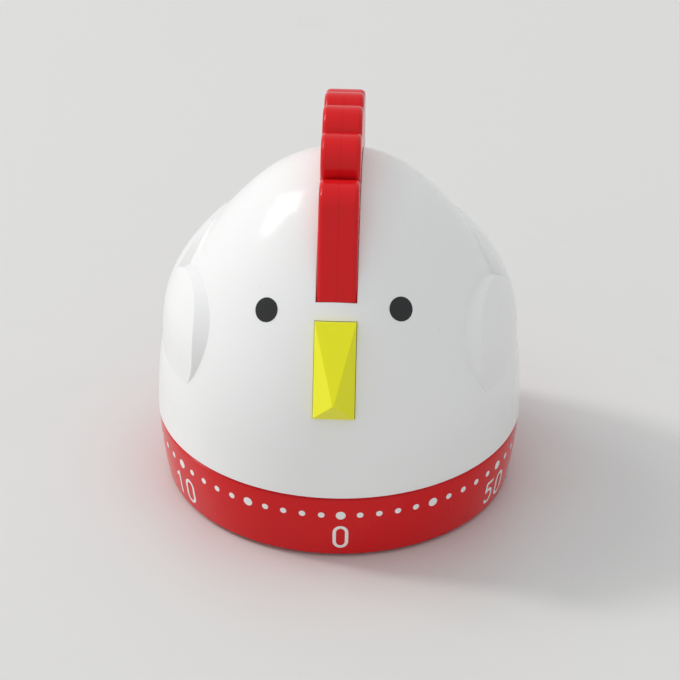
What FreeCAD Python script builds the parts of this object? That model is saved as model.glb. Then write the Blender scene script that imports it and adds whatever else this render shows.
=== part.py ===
import FreeCAD, Part
import math
import operator
import os
import Sketcher
from FreeCAD import Placement, Rotation, Vector

os.makedirs("parts", exist_ok=True)
doc = FreeCAD.newDocument("ChickenTimer")

# Driving sizes. Lengths in millimetres, angles in degrees, seen from above.
sizes = {
    # outer shape
    "ring_radius": 35.0,
    "ring_foot_radius": 33.4,
    "ring_top": 14.25,
    "dome_bottom": 14.7,
    "dome_top": 67.5,
    "crown_radius": 24.05,
    "crown_angle": 44.7,
    "shoulder_radius": 65.0,
    "shoulder_angle": 67.6,
    "side_radius": 49.0,
    "draft": 2.0,
    "wall": 2.2,
    "seat_depth": 1.2,
    # comb, beak and wings
    "comb_width": 7.5,
    "comb_lobe": 4.9,
    "comb_edge": 0.9,
    "beak_width": 7.7,
    "beak_height": 18.0,
    "beak_foot": 31.5,
    "beak_depth": 5.0,
    "beak_tilt": 22.7,
    "wing_bulge": 2.1,
    "wing_lobe": 12.6,
    "wing_feather": 11.5,
    "wing_draft": 12.0,
    "wing_low": 27.0,
    "wing_full": 41.0,
    "wing_high": 50.0,
    # movement
    "deck_top": 7.0,
    "plate_radius": 27.5,
    "plate_thickness": 1.2,
    "lower_plate_level": 8.0,
    "upper_plate_level": 26.0,
    "arbor_radius": 2.5,
    "running_gap": 0.05,
    "main_module": 0.5,
    "train_module": 0.4,
    "main_teeth": 60,
    "second_teeth": 50,
    "third_teeth": 45,
    "leaf_count": 10,
    "wheel_thickness": 1.2,
    "train_thickness": 0.8,
    "pivot_radius": 0.5,
    "staff_radius": 0.7,
    "escape_radius": 6.0,
    "escape_teeth": 15,
    "escape_spacing": 8.5,
    "balance_radius": 7.0,
    "bell_radius": 21.0,
    "bell_wall": 0.8,
    "bell_bottom": 31.0,
    "bell_top": 41.0,
    "pillar_radius": 1.8,
    "screw_radius": 1.2,
}

sheet = doc.addObject("Spreadsheet::Sheet", "Sizes")
for row, (alias, number) in enumerate(sizes.items(), start=1):
    sheet.set(f"A{row}", alias)
    sheet.set(f"B{row}", str(number))
    sheet.setAlias(f"B{row}", alias)
doc.recompute()


class Size:
    """A number kept together with the sheet expression that gives it."""

    def __init__(self, value, text):
        self.value = float(value)
        self.text = text

    def __add__(self, other):
        return joined(self, "+", other)

    def __radd__(self, other):
        return joined(other, "+", self)

    def __sub__(self, other):
        return joined(self, "-", other)

    def __rsub__(self, other):
        return joined(other, "-", self)

    def __mul__(self, other):
        return joined(self, "*", other)

    def __rmul__(self, other):
        return joined(other, "*", self)

    def __truediv__(self, other):
        return joined(self, "/", other)

    def __neg__(self):
        return joined(0, "-", self)


def as_size(thing):
    if isinstance(thing, Size):
        return thing
    return Size(thing, f"({float(thing):.6f})")


def joined(left, sign, right):
    work = {"+": operator.add, "-": operator.sub, "*": operator.mul, "/": operator.truediv}[sign]
    left = as_size(left)
    right = as_size(right)
    return Size(work(left.value, right.value), f"({left.text} {sign} {right.text})")


def sine(angle):
    return Size(math.sin(math.radians(angle.value)), f"sin({angle.text})")


def cosine(angle):
    return Size(math.cos(math.radians(angle.value)), f"cos({angle.text})")


def tangent(angle):
    return Size(math.tan(math.radians(angle.value)), f"tan({angle.text})")


class Sheet:
    """Sizes by name, as in sheet_size.wall."""

    def __getattr__(self, alias):
        return Size(sizes[alias], f"Sizes.{alias}")


s = Sheet()
kept = {}
upright = Vector(0, 0, 1)


def bind(thing, prop, amount):
    amount = as_size(amount)
    setattr(thing, prop, amount.value)
    thing.setExpression(prop, amount.text)


def place(thing, x=0, y=0, z=0, turn=None):
    spot = [as_size(part) for part in (x, y, z)]
    thing.Placement = Placement(Vector(*[part.value for part in spot]), turn or Rotation())
    for axis, part in zip("xyz", spot):
        if "Sizes" in part.text:
            thing.setExpression(f"Placement.Base.{axis}", part.text)
    return thing


def keep(thing, label):
    thing.Label = label
    kept[label] = thing
    return thing


def cylinder(name, radius, height, x=0, y=0, z=0, turn=None):
    thing = doc.addObject("Part::Cylinder", name)
    bind(thing, "Radius", radius)
    bind(thing, "Height", height)
    return place(thing, x, y, z, turn)


def box(name, length, width, height, x=0, y=0, z=0, turn=None):
    thing = doc.addObject("Part::Box", name)
    bind(thing, "Length", length)
    bind(thing, "Width", width)
    bind(thing, "Height", height)
    return place(thing, x, y, z, turn)


def fused(name, pieces):
    thing = doc.addObject("Part::MultiFuse", name)
    thing.Shapes = pieces
    thing.Refine = True
    return thing


def cut(name, base, tools):
    thing = doc.addObject("Part::Cut", name)
    thing.Base = base
    thing.Tool = tools[0] if len(tools) == 1 else fused(name + "_tools", tools)
    return thing


def common(name, pieces):
    thing = doc.addObject("Part::MultiCommon", name)
    thing.Shapes = pieces
    return thing


def pinned(sketch, edge, end, x, y):
    """Fix one end of an edge at (x, y) in the sketch."""
    for kind, axis, amount in (("DistanceX", -2, as_size(x)), ("DistanceY", -1, as_size(y))):
        if abs(amount.value) < 1e-9:
            sketch.addConstraint(Sketcher.Constraint("PointOnObject", edge, end, axis))
            continue
        rule = sketch.addConstraint(Sketcher.Constraint(kind, -1, 1, edge, end, amount.value))
        sketch.setExpression(f"Constraints[{rule}]", amount.text)


def profile(body, name, points, arcs=None, role="XZ_Plane"):
    """Closed outline through the points; arcs gives a radius for edges that are arcs."""
    arcs = arcs or {}
    sketch = body.newObject("Sketcher::SketchObject", name)
    plane = next(part for part in body.Origin.OriginFeatures if part.Role == role)
    sketch.AttachmentSupport = [(plane, "")]
    sketch.MapMode = "FlatFace"
    spots = [Vector(as_size(x).value, as_size(y).value, 0) for x, y in points]
    for edge, start in enumerate(spots):
        stop = spots[(edge + 1) % len(spots)]
        if edge in arcs:
            radius = as_size(arcs[edge][0]).value
            chord = stop - start
            middle = (start + stop) * 0.5
            rise = radius - math.sqrt(radius ** 2 - (chord.Length / 2) ** 2)
            side = Vector(-chord.y, chord.x, 0).normalize() * rise * arcs[edge][1]
            sketch.addGeometry(Part.Arc(start, middle + side, stop), False)
        else:
            sketch.addGeometry(Part.LineSegment(start, stop), False)
    for edge, (x, y) in enumerate(points):
        # an arc stored the other way round has its ends swapped
        start_at = 1 if (sketch.getPoint(edge, 1) - spots[edge]).Length < 1e-4 else 2
        before = (edge - 1) % len(points)
        stop_at = 2 if (sketch.getPoint(before, 2) - spots[edge]).Length < 1e-4 else 1
        sketch.addConstraint(Sketcher.Constraint("Coincident", before, stop_at, edge, start_at))
        pinned(sketch, edge, start_at, x, y)
    for edge, (radius, _) in arcs.items():
        rule = sketch.addConstraint(Sketcher.Constraint("Radius", edge, as_size(radius).value))
        sketch.setExpression(f"Constraints[{rule}]", as_size(radius).text)
    return sketch


def turned(name, points, arcs=None, x=0, y=0, z=0, turn=None):
    """A body of revolution about its own upright axis."""
    body = doc.addObject("PartDesign::Body", name)
    sketch = profile(body, name + "_profile", points, arcs)
    round_part = body.newObject("PartDesign::Revolution", name + "_turned")
    round_part.Profile = sketch
    round_part.ReferenceAxis = (sketch, ["V_Axis"])
    round_part.Angle = 360
    doc.recompute()
    return place(body, x, y, z, turn)


def stepped(name, steps, bore=None, x=0, y=0, z=0):
    """A turned pin from (radius, top level) steps that start at level 0."""
    inner = bore or 0
    points = [(inner, 0)]
    level = 0
    for radius, top in steps:
        points.append((radius, level))
        points.append((radius, top))
        level = top
    points.append((inner, level))
    return turned(name, points, x=x, y=y, z=z)


def polar(radius, angle):
    """A point from a distance and an angle in degrees."""
    return radius * math.cos(math.radians(angle)), radius * math.sin(math.radians(angle))


def shaped(name, outline, height, holes=(), level=0, centre=(0, 0), turn=0):
    """A flat piece from corner points, with round holes (x, y, radius)."""
    wire = Part.makePolygon([Vector(x, y, 0) for x, y in list(outline) + [outline[0]]])
    solid = Part.Face(wire).extrude(Vector(0, 0, as_size(height).value))
    for x, y, radius in holes:
        solid = solid.cut(Part.makeCylinder(radius, as_size(height).value + 2, Vector(x, y, -1)))
    thing = doc.addObject("Part::Feature", name)
    thing.Shape = solid
    return place(thing, centre[0], centre[1], level, Rotation(upright, turn))


# ---- outer shell ---------------------------------------------------------

def dome_corners(inset):
    """Corner points of the dome's half profile, from the top down, set in by a distance."""
    crown = s.crown_radius - inset
    shoulder = s.shoulder_radius - inset
    side = s.side_radius - inset
    end_angle = 90 - s.draft
    crown_x, crown_z = as_size(0), s.dome_top - s.crown_radius
    shoulder_x = crown_x + (s.crown_radius - s.shoulder_radius) * sine(s.crown_angle)
    shoulder_z = crown_z + (s.crown_radius - s.shoulder_radius) * cosine(s.crown_angle)
    side_x = shoulder_x + (s.shoulder_radius - s.side_radius) * sine(s.shoulder_angle)
    side_z = shoulder_z + (s.shoulder_radius - s.side_radius) * cosine(s.shoulder_angle)
    top = (as_size(0), s.dome_top - inset)
    first = (crown_x + crown * sine(s.crown_angle), crown_z + crown * cosine(s.crown_angle))
    second = (shoulder_x + shoulder * sine(s.shoulder_angle), shoulder_z + shoulder * cosine(s.shoulder_angle))
    third = (side_x + side * sine(end_angle), side_z + side * cosine(end_angle))
    bottom = (third[0] + tangent(s.draft) * (third[1] - s.dome_bottom), s.dome_bottom)
    return [top, first, second, third, bottom], [crown, shoulder, side]


def dome_solid(name, inset):
    corners, radii = dome_corners(inset)
    arcs = {edge: (radius, 1) for edge, radius in enumerate(radii)}
    return turned(name, corners + [(0, s.dome_bottom)], arcs, turn=Rotation(upright, 90))


def wing_thickness(level):
    """How far a wing's face stands off the dome at a level."""
    low, full, high = s.wing_low.value, s.wing_full.value, s.wing_high.value
    if level < full:
        share = (level - low) / (full - low)
        return s.wing_bulge.value * share ** 2 * (3 - 2 * share)
    share = (level - full) / (high - full)
    return s.wing_bulge.value * (1 - 0.5 * share ** 2)


def wing_swell():
    """Solid of revolution about the dome whose outside is the wings' face."""
    low, high = s.wing_low.value, s.wing_high.value
    levels = [low + (high - low) * step / 10 for step in range(11)]
    points = [Vector(dome_radius(z) + wing_thickness(z) - 0.1, 0, z) for z in levels]
    face_curve = Part.BSplineCurve()
    face_curve.interpolate(points)
    inner_top, inner_low = Vector(20, 0, high), Vector(20, 0, low)
    edges = [
        face_curve.toShape(),
        Part.makeLine(points[-1], inner_top),
        Part.makeLine(inner_top, inner_low),
        Part.makeLine(inner_low, points[0]),
    ]
    half_section = Part.Face(Part.Wire(edges))
    half_section.rotate(Vector(0, 0, 0), upright, -75)
    thing = doc.addObject("Part::Feature", "wing_swell")
    thing.Shape = half_section.revolve(Vector(0, 0, 0), upright, 150)
    return thing


def wing_relief():
    """Two raised wings, each with a round shoulder in front and a feather lobe behind."""
    lobes = [
        wing_lobe("wing_shoulder", s.wing_lobe, -7.5, 33.5),
        wing_lobe("wing_feather", s.wing_feather, 9.0, 38.0),
        box("wing_belly", 30, 26, 14, 18, -15, s.wing_low - 5),
    ]
    plate = common("wing_plate", [wing_swell(), fused("wing_outline", lobes)])
    twin = doc.addObject("Part::Mirroring", "wing_twin")
    twin.Source = plate
    twin.Normal = Vector(1, 0, 0)
    return [plate, twin]


def wing_lobe(name, radius, y, z):
    """A lobe across the wing that narrows outwards by the wing's draft."""
    lean = tangent(s.wing_draft)
    thing = doc.addObject("Part::Cone", name)
    bind(thing, "Radius1", radius + 11 * lean)
    bind(thing, "Radius2", radius - 19 * lean)
    bind(thing, "Height", 30)
    return place(thing, 18, y, z, Rotation(Vector(0, 1, 0), 90))


def dome_radius(level):
    """Radius of the dome's outside at a level."""
    corners, radii = dome_corners(0)
    points = [(x.value, z.value) for x, z in corners]
    for edge, radius in enumerate(radii):
        upper, lower = points[edge], points[edge + 1]
        if lower[1] <= level <= upper[1]:
            centre_x, centre_z = arc_centre(upper, lower, radius.value)
            return centre_x + math.sqrt(radius.value ** 2 - (level - centre_z) ** 2)
    return points[3][0] + math.tan(math.radians(s.draft.value)) * (points[3][1] - level)


def arc_centre(upper, lower, radius):
    chord_x, chord_z = lower[0] - upper[0], lower[1] - upper[1]
    chord = math.hypot(chord_x, chord_z)
    back = math.sqrt(radius ** 2 - chord ** 2 / 4)
    middle_x, middle_z = (upper[0] + lower[0]) / 2, (upper[1] + lower[1]) / 2
    return middle_x + chord_z / chord * back, middle_z - chord_x / chord * back


comb_tips = [(-13.2, 69.6), (-5.3, 75.2), (2.5, 76.9), (10.2, 75.8), (17.6, 72.7)]
comb_front = (-24.8, 51.0)
comb_back = (25.6, 50.2)


def comb_blank(name, extra):
    """The comb's lobed outline across the dome, wider by extra on each face."""
    width = s.comb_width + 2 * extra
    across = Rotation(Vector(0, 1, 0), 90)
    centres = [(y, z - s.comb_lobe.value) for y, z in comb_tips]
    pieces = []
    for index, (y, z) in enumerate(centres, start=1):
        pieces.append(cylinder(f"{name}_lobe_{index}", s.comb_lobe + extra, width, -width / 2, y, z, across))
    body = doc.addObject("PartDesign::Body", name + "_fan")
    reach = s.comb_lobe.value + extra
    front_touch = (centres[0][0] - reach * 0.9, centres[0][1] + reach * 0.42)
    back_touch = (centres[-1][0] + reach * 0.98, centres[-1][1] + reach * 0.18)
    points = [
        (comb_front[0] - extra, comb_front[1]),
        front_touch,
        centres[0],
        centres[1],
        centres[2],
        centres[3],
        centres[4],
        back_touch,
        (comb_back[0] + extra, comb_back[1]),
        (comb_back[0] - 4, 47.0),
        (comb_front[0] + 4, 47.0),
    ]
    sketch = profile(body, name + "_outline", points, role="YZ_Plane")
    fan = body.newObject("PartDesign::Pad", name + "_pad")
    fan.Profile = sketch
    fan.Midplane = True
    bind(fan, "Length", width)
    doc.recompute()
    return fused(name, pieces + [body])


def comb():
    core = dome_solid("comb_core", s.seat_depth - s.running_gap)
    blank = comb_blank("comb_blank", 0)
    raw = cut("comb_raw", blank, [core])
    doc.recompute()
    rounded = doc.addObject("Part::Fillet", "comb_rounded")
    rounded.Base = raw
    radius = s.comb_edge.value
    rounded.Edges = [(index, radius, radius) for index in rim_edges(raw.Shape)]
    pegs = [cylinder(f"comb_peg_{i}", 1.9, 8.0, 0, y, 59.2) for i, y in enumerate((-12, 12), start=1)]
    holes = [cylinder(f"comb_hole_{i}", s.screw_radius, 8.5, 0, y, 58.2) for i, y in enumerate((-12, 12), start=1)]
    keep(cut("comb_part", fused("comb_solid", [rounded] + pegs), holes), "comb")
    for index, y in enumerate((-12, 12), start=1):
        screw = stepped(f"comb_screw_{index}_body", [(2.5, 1.6), (s.screw_radius - 0.02, 8.4)], y=y, z=57.6)
        keep(screw, f"comb_screw_{index}")


def rim_edges(shape):
    """Long edges round the comb's two flat faces, above the dome."""
    half = s.comb_width.value / 2
    found = []
    for index, edge in enumerate(shape.Edges, start=1):
        middle = edge.valueAt((edge.FirstParameter + edge.LastParameter) / 2)
        on_face = all(abs(abs(vertex.X) - half) < 1e-3 for vertex in edge.Vertexes)
        same_side = len({vertex.X > 0 for vertex in edge.Vertexes}) == 1
        above = math.hypot(middle.y, middle.z - 43.1) > 25.5 or abs(middle.y) > 25
        if on_face and same_side and above and edge.Length > 0.5 and middle.z > 53:
            found.append(index)
    return found


def beak_frame(offset_out):
    """Placement of the beak: outward along its normal, height up the dome's face."""
    tilt = math.radians(s.beak_tilt.value)
    normal = Vector(0, -math.cos(tilt), math.sin(tilt))
    up = Vector(0, math.sin(tilt), math.cos(tilt))
    foot = Vector(0, -dome_radius(s.beak_foot.value) - 0.2, s.beak_foot.value) + normal * offset_out
    return foot, normal, up, Rotation(Vector(-1, 0, 0), normal, up, "ZYX")


def beak():
    foot, normal, up, turn = beak_frame(0.25)
    half = s.beak_width / 2
    apex = 0.18 * s.beak_height
    hip = doc.addObject("Part::Wedge", "beak_hip")
    for prop, amount in (
        ("Xmin", -half), ("Xmax", half), ("X2min", -0.25), ("X2max", 0.25),
        ("Ymin", 0), ("Ymax", s.beak_depth - 0.6),
        ("Zmin", 0), ("Zmax", s.beak_height), ("Z2min", apex - 0.3), ("Z2max", apex + 0.3),
    ):
        bind(hip, prop, amount)
    place(hip, foot.x, foot.y, foot.z, turn)
    slab = box("beak_slab", s.beak_width, 2.2, s.beak_height)
    corner = foot - normal * 1.6 + Vector(s.beak_width.value / 2, 0, 0)
    place(slab, corner.x, corner.y, corner.z, turn)
    hip_foot = foot + normal * 0.6
    place(hip, hip_foot.x, hip_foot.y, hip_foot.z, turn)
    middle = foot + up * (s.beak_height.value / 2)
    inward = Rotation(Vector(0, 0, 1), normal * -1)
    stud_foot = middle - normal * 1.0
    stud = cylinder("beak_stud", 1.6, 5.2, stud_foot.x, stud_foot.y, stud_foot.z, inward)
    solid = fused("beak_solid", [slab, hip, stud])
    doc.recompute()
    softened = doc.addObject("Part::Fillet", "beak_softened")
    softened.Base = solid
    corners = []
    for index, edge in enumerate(solid.Shape.Edges, start=1):
        middle_point = edge.valueAt((edge.FirstParameter + edge.LastParameter) / 2)
        outside = (middle_point - foot).dot(normal)
        if outside > 0.7 and edge.Length > 2:
            corners.append((index, 0.2, 0.2))
    softened.Edges = corners
    keep(softened, "beak")
    ring_foot = middle - normal * 4.4
    retainer = cut(
        "beak_retainer_part",
        cylinder("beak_retainer_disc", 3.6, 0.6, ring_foot.x, ring_foot.y, ring_foot.z, inward),
        [cylinder("beak_retainer_hole", 1.62, 2, *(ring_foot + normal * 0.5), inward)],
    )
    keep(retainer, "beak_retainer")


def dome_shell():
    outside = dome_solid("dome_outside", 0)
    inside = dome_solid("dome_inside", s.wall)
    reliefs = wing_relief()
    winged = cut("dome_wall", fused("dome_winged", [outside] + reliefs), [inside])
    hub = cylinder("dome_hub", 4.5, 20.5, 0, 0, 45.2)
    ribs = [
        box("hub_rib_x", 12.5, 1.4, 6, -6.25, -0.7, 58.4),
        box("hub_rib_y", 1.4, 12.5, 6, -0.7, -6.25, 58.4),
    ]
    hubbed = fused("dome_hubbed", [winged, common("hub_trimmed", [outside, fused("hub_and_ribs", [hub] + ribs)])])
    core = dome_solid("slot_core", s.seat_depth)
    slot = cut("comb_slot", comb_blank("slot_blank", 0.1), [core])
    peg_holes = [cylinder(f"peg_hole_{i}", 2.0, 12, 0, y, 56) for i, y in enumerate((-12, 12), start=1)]
    foot, normal, up, turn = beak_frame(0.25)
    corner = foot - normal * 1.65 + Vector(s.beak_width.value / 2 + 0.1, 0, 0) - up * 0.1
    seat = box("beak_seat", s.beak_width + 0.2, 6, s.beak_height + 0.2)
    place(seat, corner.x, corner.y, corner.z, turn)
    middle = foot + up * (s.beak_height.value / 2)
    inward = Rotation(Vector(0, 0, 1), normal * -1)
    stud_hole = cylinder("stud_hole", 1.7, 8, middle.x, middle.y, middle.z, inward)
    bore = cylinder("hub_bore_round", s.arbor_radius + 0.02, 13.2, 0, 0, 45)
    bore_flat = box("hub_bore_flat", 6, 6, 14, s.arbor_radius - 0.58, -3, 45)
    bore_shape = cut("hub_bore", bore, [bore_flat])
    keep(cut("dome_part", hubbed, [slot, seat, stud_hole, bore_shape] + peg_holes), "dome_shell")
    clip = cut(
        "hub_clip_part",
        cylinder("hub_clip_outer", 5.3, 2.0, 0, 0, 46.0),
        [cylinder("hub_clip_inner", 4.5 + s.running_gap, 3.0, 0, 0, 45.5), box("hub_clip_gap", 3, 1.2, 3, 3.5, -0.6, 45.5)],
    )
    keep(clip, "hub_clip")


def dial_ring():
    """Red cup under the dome: tapered wall, deck for the movement, lip inside the skirt."""
    points = [
        (31.2, 0.3),
        (s.ring_foot_radius - 0.8, 0.3),
        (s.ring_foot_radius, 1.0),
        (s.ring_radius, s.ring_top - 1.2),
        (s.ring_radius, s.ring_top - 0.4),
        (s.ring_radius - 0.4, s.ring_top),
        (32.3, s.ring_top),
        (32.3, s.ring_top + 3.0),
        (31.2, s.ring_top + 3.0),
        (31.2, s.deck_top),
        (7.0, s.deck_top),
        (7.0, s.deck_top - 1.8),
        (31.2, s.deck_top - 1.8),
    ]
    cup = turned("ring_cup", points, {2: (75.0, -1)})
    bosses = []
    holes = []
    for index, angle in enumerate((60, 180, 300), start=1):
        x, y = polar(26.5, angle)
        bosses.append(cylinder(f"cover_boss_{index}", 3.0, s.deck_top - 1.8 - 1.5, x, y, 1.6))
        holes.append(cylinder(f"cover_boss_hole_{index}", s.screw_radius, 5, x, y, 1.0))
    for index, angle in enumerate((0, 120, 240), start=1):
        x, y = polar(22.0, angle)
        bosses.append(cylinder(f"deck_boss_{index}", 3.0, s.lower_plate_level - s.deck_top + 0.1, x, y, s.deck_top - 0.1))
        holes.append(cylinder(f"deck_hole_{index}", s.screw_radius + 0.1, 5, x, y, 4.5))
    keep(cut("ring_part", fused("ring_solid", [cup] + bosses), holes), "dial_ring")


def bottom_cover():
    points = [
        (0, 0),
        (20.0, 0),
        (20.3, 0.3),
        (21.2, 0.3),
        (21.5, 0),
        (30.6, 0),
        (31.1, 0.5),
        (31.1, 1.6),
        (0, 1.6),
    ]
    plate = turned("cover_plate", points)
    holes = []
    for index, angle in enumerate((60, 180, 300), start=1):
        x, y = polar(26.5, angle)
        holes.append(cylinder(f"cover_hole_{index}", s.screw_radius + 0.1, 3, x, y, -0.5))
        holes.append(cylinder(f"cover_sink_{index}", 2.7, 1.6, x, y, -0.8))
        screw = stepped(f"cover_screw_{index}_body", [(2.4, 0.6), (s.screw_radius - 0.02, 5.2)], x=x, y=y, z=0.2)
        keep(screw, f"cover_screw_{index}")
    keep(cut("cover_part", plate, holes), "bottom_cover")


# ---- movement ------------------------------------------------------------

def spread(near, far, span):
    """Angle at the centre between two points at distances near and far that are span apart."""
    return math.degrees(math.acos((near ** 2 + far ** 2 - span ** 2) / (2 * near * far)))


main_span = s.main_module.value * (s.main_teeth.value + s.leaf_count.value) / 2
second_span = s.train_module.value * (s.second_teeth.value + s.leaf_count.value) / 2
third_span = s.train_module.value * (s.third_teeth.value + s.leaf_count.value) / 2
third_reach, escape_reach, balance_reach = main_span + 2.0, main_span + 0.5, main_span + 3.5
second_angle = 205.0
third_angle = second_angle + spread(main_span, third_reach, second_span)
escape_angle = third_angle + spread(third_reach, escape_reach, third_span)
balance_angle = escape_angle + spread(escape_reach, balance_reach, s.escape_spacing.value)
second_at = polar(main_span, second_angle)
third_at = polar(third_reach, third_angle)
escape_at = polar(escape_reach, escape_angle)
balance_at = polar(balance_reach, balance_angle)
hammer_at = polar(14.5, 100)
head_at = polar(17.2, 70)
post_at = polar(15.0, 145)
stop_at = polar(7.6, 40)
stud_at = (balance_at[0] + polar(5.6, balance_angle)[0], balance_at[1] + polar(5.6, balance_angle)[1])
pillar_spots = [polar(24.5, angle) for angle in (20, 90, 165, 330)]


def direction(start, stop):
    return math.degrees(math.atan2(stop[1] - start[1], stop[0] - start[0]))


def tooth_outline(teeth, module, slack=0.06):
    """Involute gear outline, tooth centred on the X axis, thinned by slack on each flank."""
    pressure = math.radians(25)
    pitch = module * teeth / 2
    base = pitch * math.cos(pressure)
    tip = pitch + 0.75 * module
    root = pitch - 1.05 * module
    involute_at_pitch = math.tan(pressure) - pressure
    half_pitch = math.pi / (2 * teeth) - slack / pitch
    flank = []
    start = max(base, root)
    steps = 5
    for step in range(steps + 1):
        radius = start + (tip - start) * step / steps
        roll = math.acos(min(1, base / radius))
        flank.append((radius, half_pitch + involute_at_pitch - (math.tan(roll) - roll)))
    if root < base:
        flank.insert(0, (root, flank[0][1]))
    points = []
    for tooth in range(teeth):
        centre = 2 * math.pi * tooth / teeth
        for radius, half in flank:
            points.append((radius * math.cos(centre - half), radius * math.sin(centre - half)))
        for radius, half in reversed(flank):
            points.append((radius * math.cos(centre + half), radius * math.sin(centre + half)))
    return points


def saw_outline(teeth, tip, root, lean):
    """Ratchet or escape wheel: a steep face then a long back on each tooth."""
    points = []
    for tooth in range(teeth):
        angle = 360 * tooth / teeth
        points.append(polar(root, angle + lean))
        points.append(polar(tip, angle))
    return points


def train_wheel(label, teeth, module, thickness, level, centre, bore, turn):
    holes = [(0, 0, bore)]
    middle = module * teeth / 2 * 0.55
    for index in range(5):
        x, y = polar(middle, 72 * index)
        holes.append((x, y, middle * 0.38))
    wheel = shaped(label + "_blank", tooth_outline(teeth, module), thickness, holes, level, centre, turn)
    return keep(wheel, label)


def leaf_pinion(label, module, low, high, centre, turn):
    """Arbor with leaves cut between two levels and a pivot at each end."""
    bottom = s.lower_plate_level
    top = s.upper_plate_level + s.plate_thickness
    leaves = shaped(label + "_leaves", tooth_outline(10, module), high - low, (), low, centre, turn)
    length = (top - bottom)
    pin = stepped(
        label + "_pin",
        [
            (s.pivot_radius, s.plate_thickness + 0.1),
            (s.staff_radius, length - s.plate_thickness - 0.1),
            (s.pivot_radius, length),
        ],
        x=centre[0], y=centre[1], z=bottom,
    )
    return keep(fused(label + "_part", [leaves, pin]), label)


def plates():
    centre_hole = {"lower_plate": 1.5 + s.running_gap, "upper_plate": as_size(4.5)}
    levels = {"lower_plate": s.lower_plate_level, "upper_plate": s.upper_plate_level}
    for label, level in levels.items():
        low = level - 0.5
        depth = s.plate_thickness + 1
        holes = [cylinder(label + "_centre", centre_hole[label], depth, 0, 0, low)]
        for index, (x, y) in enumerate((second_at, third_at, escape_at, balance_at), start=1):
            holes.append(cylinder(f"{label}_pivot_{index}", s.pivot_radius + s.running_gap, depth, x, y, low))
        for index, (x, y) in enumerate(pillar_spots, start=1):
            holes.append(cylinder(f"{label}_pillar_{index}", 1.1, depth, x, y, low))
        if label == "lower_plate":
            for index, angle in enumerate((0, 120, 240), start=1):
                x, y = polar(22.0, angle)
                holes.append(cylinder(f"lower_plate_screw_{index}", s.screw_radius, depth, x, y, low))
        else:
            for index, (x, y, radius) in enumerate(
                ((*post_at, 0.8), (*stop_at, 0.7), (*stud_at, 0.6), (*hammer_at, 1.8)), start=1
            ):
                holes.append(cylinder(f"upper_plate_post_{index}", radius, depth, x, y, low))
        disc = cylinder(label + "_disc", s.plate_radius, s.plate_thickness, 0, 0, level)
        keep(cut(label + "_part", disc, holes), label)


def pillars():
    span = s.upper_plate_level - s.lower_plate_level - s.plate_thickness
    for index, (x, y) in enumerate(pillar_spots, start=1):
        foot = s.lower_plate_level
        pillar = stepped(
            f"pillar_{index}_body",
            [
                (1.1, s.plate_thickness),
                (s.pillar_radius, s.plate_thickness + span),
                (1.1, span + 2 * s.plate_thickness + 1.6),
            ],
            x=x, y=y, z=foot,
        )
        keep(pillar, f"pillar_{index}")
        nut_level = s.upper_plate_level + s.plate_thickness
        keep(hexagon(f"pillar_nut_{index}", 2.2, 1.4, 1.12, (x, y), nut_level), f"pillar_nut_{index}")
    for index, angle in enumerate((0, 120, 240), start=1):
        x, y = polar(22.0, angle)
        screw = stepped(
            f"movement_screw_{index}_body",
            [(2.4, 1.4), (s.screw_radius - 0.02, s.lower_plate_level + s.plate_thickness - s.deck_top + 3.2)],
            x=x, y=y, z=s.deck_top - 1.8 - 1.4,
        )
        keep(screw, f"movement_screw_{index}")


def hexagon(name, reach, height, bore, centre, level):
    corners = [polar(reach, 60 * index) for index in range(6)]
    return shaped(name + "_blank", corners, height, [(0, 0, bore)], level, centre)


def main_arbor():
    """Steel arbor from the lower plate to the dome's hub, flatted at the top."""
    steps = [
        (1.5, 1.3),
        (3.6, 1.8),
        (s.arbor_radius, 3.0),
        (3.6, 4.0),
        (s.arbor_radius, 7.0),
        (3.4, 12.3),
        (s.arbor_radius, 50.0),
    ]
    pin = stepped("main_arbor_pin", steps, z=s.lower_plate_level)
    flat = box("main_arbor_flat", 6, 6, 20, s.arbor_radius - 0.6, -3, 45.2)
    keep(cut("main_arbor_part", pin, [flat]), "main_arbor")


def arbor_pieces():
    ratchet = shaped(
        "ratchet_blank", saw_outline(12, 6.0, 4.8, -1.0), 1.0, [(0, 0, s.arbor_radius.value)], 13.4,
    )
    keep(ratchet, "ratchet_wheel")
    disc = cylinder("trip_disc", 5.5, 1.0, 0, 0, 21.4)
    notch = box("trip_notch", 3, 1.6, 2, 4.2, -0.8, 21.0, Rotation(upright, 0))
    place(notch, *polar(4.2, 97), 21.0, Rotation(upright, 97))
    bore = cylinder("trip_bore", s.arbor_radius, 3, 0, 0, 20.5)
    keep(cut("trip_part", disc, [notch, bore]), "trip_cam")
    # finger stops against the pin at both ends of the dial's travel
    finger = box("stop_finger", 5.4, 1.6, 1.2)
    angle = 40 - 12.0
    side_x, side_y = polar(0.8, angle - 90)
    root_x, root_y = polar(3.0, angle)
    place(finger, root_x + side_x, root_y + side_y, 23.2, Rotation(upright, angle))
    collar = cylinder("stop_collar", 4.2, 1.2, 0, 0, 23.2)
    stop_bore = cylinder("stop_bore", s.arbor_radius, 3, 0, 0, 22.5)
    keep(cut("stop_part", fused("stop_solid", [collar, finger]), [stop_bore]), "stop_arm")


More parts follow.
